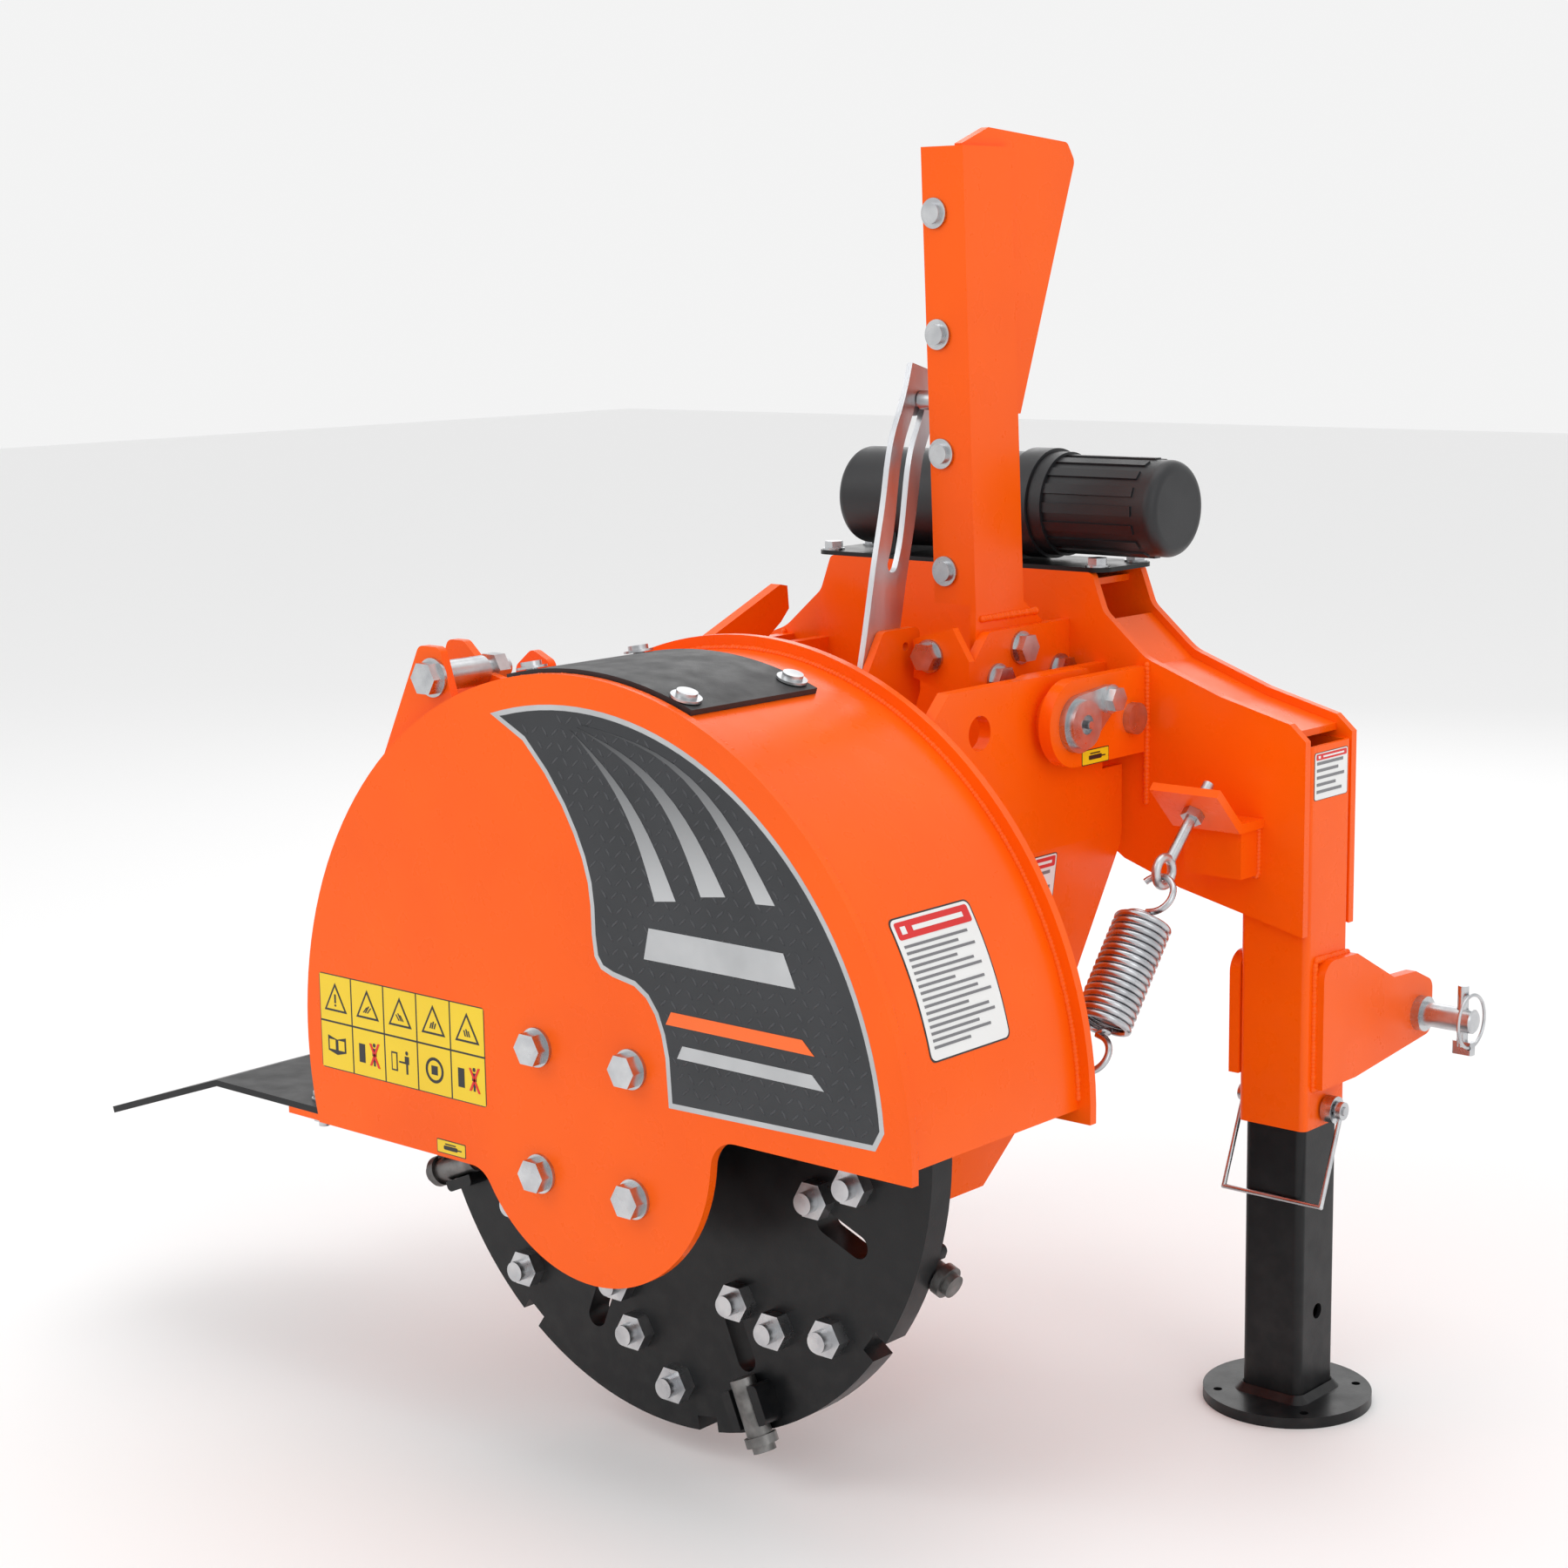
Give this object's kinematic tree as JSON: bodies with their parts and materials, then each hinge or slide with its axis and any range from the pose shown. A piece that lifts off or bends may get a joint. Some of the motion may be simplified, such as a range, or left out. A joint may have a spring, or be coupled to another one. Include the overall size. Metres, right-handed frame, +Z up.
{
  "type": "stump grinder",
  "caption": "Tractor-mounted stump grinder with a shrouded toothed cutter wheel on a sprung head, a bridge frame with two stand legs, mast, lower link pins and document canister.",
  "frame": {"origin": "centre of the power take-off stub, on the axis of the cutter shaft", "axes": "+Y points from the cutter to the tractor along the shaft, +X across the machine, +Z up"},
  "size_m": [1.107, 0.7238, 1.124],
  "materials": {
    "orange_paint": "gloss",
    "black_paint": "satin",
    "zinc_steel": "satin",
    "bare_steel": "satin",
    "cast_iron": "matte",
    "rubber": "matte",
    "black_plastic": "satin",
    "spring_steel": "satin"
  },
  "bodies": {
    "frame": {"bridge_front_plate": "orange_paint", "bridge_rear_plate": "orange_paint", "bridge_roof": "orange_paint", "canister_body": "black_plastic", "canister_bracket": "black_paint", "eye_bolts": "zinc_steel", "frame_bolts": "zinc_steel", "guide_bar": "orange_paint", "hitch_plates_left": "orange_paint", "hitch_plates_right": "orange_paint", "keeper_plates": "zinc_steel", "leg_tube_left": "orange_paint", "leg_tube_right": "orange_paint", "lock_pins": "zinc_steel", "lower_link_pin_left": "zinc_steel", "lower_link_pin_right": "zinc_steel", "lynch_pins": "zinc_steel", "mast": "orange_paint", "mast_lug": "orange_paint", "mast_wing": "orange_paint", "pivot_bracket_left": "orange_paint", "pivot_bracket_right": "orange_paint", "pivot_pins": "zinc_steel", "spring_bracket_left": "orange_paint", "spring_bracket_right": "orange_paint", "stand_leg_left": "black_paint", "stand_leg_right": "black_paint", "stop_pins": "zinc_steel", "top_link_ears": "orange_paint"},
    "head": {"hood_front_plate": "orange_paint", "hood_rear_plate": "orange_paint", "hood_wrap": "orange_paint", "rubber_flap": "rubber", "hood_ears": "orange_paint", "deflector": "black_paint", "front_bearing": "cast_iron", "rear_bearing": "cast_iron", "cross_plate": "orange_paint", "head_bolts": "zinc_steel", "arm_left": "orange_paint", "arm_right": "orange_paint", "side_panel_left": "orange_paint", "side_panel_right": "orange_paint", "spring_lugs": "orange_paint", "spring_left": "spring_steel", "spring_right": "spring_steel", "link_bracket": "orange_paint", "link_hinge_pin": "zinc_steel"},
    "rotor": {"cutter_disc": "black_paint", "tooth_holders": "black_paint", "teeth": "zinc_steel", "wheel_bolts": "zinc_steel", "cutter_hub": "cast_iron", "cutter_shaft": "bare_steel"},
    "depth_link": {"depth_link": "zinc_steel"},
    "bail_left": {"bail_left": "zinc_steel"},
    "bail_right": {"bail_right": "zinc_steel"},
    "lynch_ring_left": {"lynch_ring_left": "zinc_steel"},
    "lynch_ring_right": {"lynch_ring_right": "zinc_steel"},
    "canister_lid": {"canister_lid": "black_plastic"}
  },
  "joints": [
    {"name": "head_pitch", "type": "hinge", "parent": "frame", "child": "head", "pos_m": [0, -0.0083, 0.301], "axis": [-1, 0, 0], "range_deg": [0, 20], "deforming": ["spring_left", "spring_right"]},
    {"name": "cutter_spin", "type": "hinge", "parent": "head", "child": "rotor", "pos_m": [0, -0.295, 0], "axis": [0, 1, 0], "continuous": true},
    {"name": "link_tilt", "type": "hinge", "parent": "head", "child": "depth_link", "pos_m": [0.05, -0.11, 0.25], "axis": [1, 0, 0], "range_deg": [0, 15]},
    {"name": "canister_lid_pull", "type": "slide", "parent": "frame", "child": "canister_lid", "axis": [1, 0, 0], "range_m": [0, 0.12]},
    {"name": "bail_swing_right", "type": "hinge", "parent": "frame", "child": "bail_right", "pos_m": [0.34, 0.14, -0.044], "axis": [-1, 0, 0], "range_deg": [0, 110]},
    {"name": "lynch_ring_flip_right", "type": "hinge", "parent": "frame", "child": "lynch_ring_right", "pos_m": [0.4365, 0.285, -0.01], "axis": [0, 1, 0], "range_deg": [0, 130]},
    {"name": "bail_swing_left", "type": "hinge", "parent": "frame", "child": "bail_left", "pos_m": [-0.34, 0.14, -0.044], "axis": [-1, 0, 0], "range_deg": [0, 110]},
    {"name": "lynch_ring_flip_left", "type": "hinge", "parent": "frame", "child": "lynch_ring_left", "pos_m": [-0.4365, 0.285, -0.01], "axis": [0, -1, 0], "range_deg": [0, 130]}
  ],
  "couplings": [
    {"joint": "link_tilt", "follows": "head_pitch", "ratio": 0.75}
  ]
}
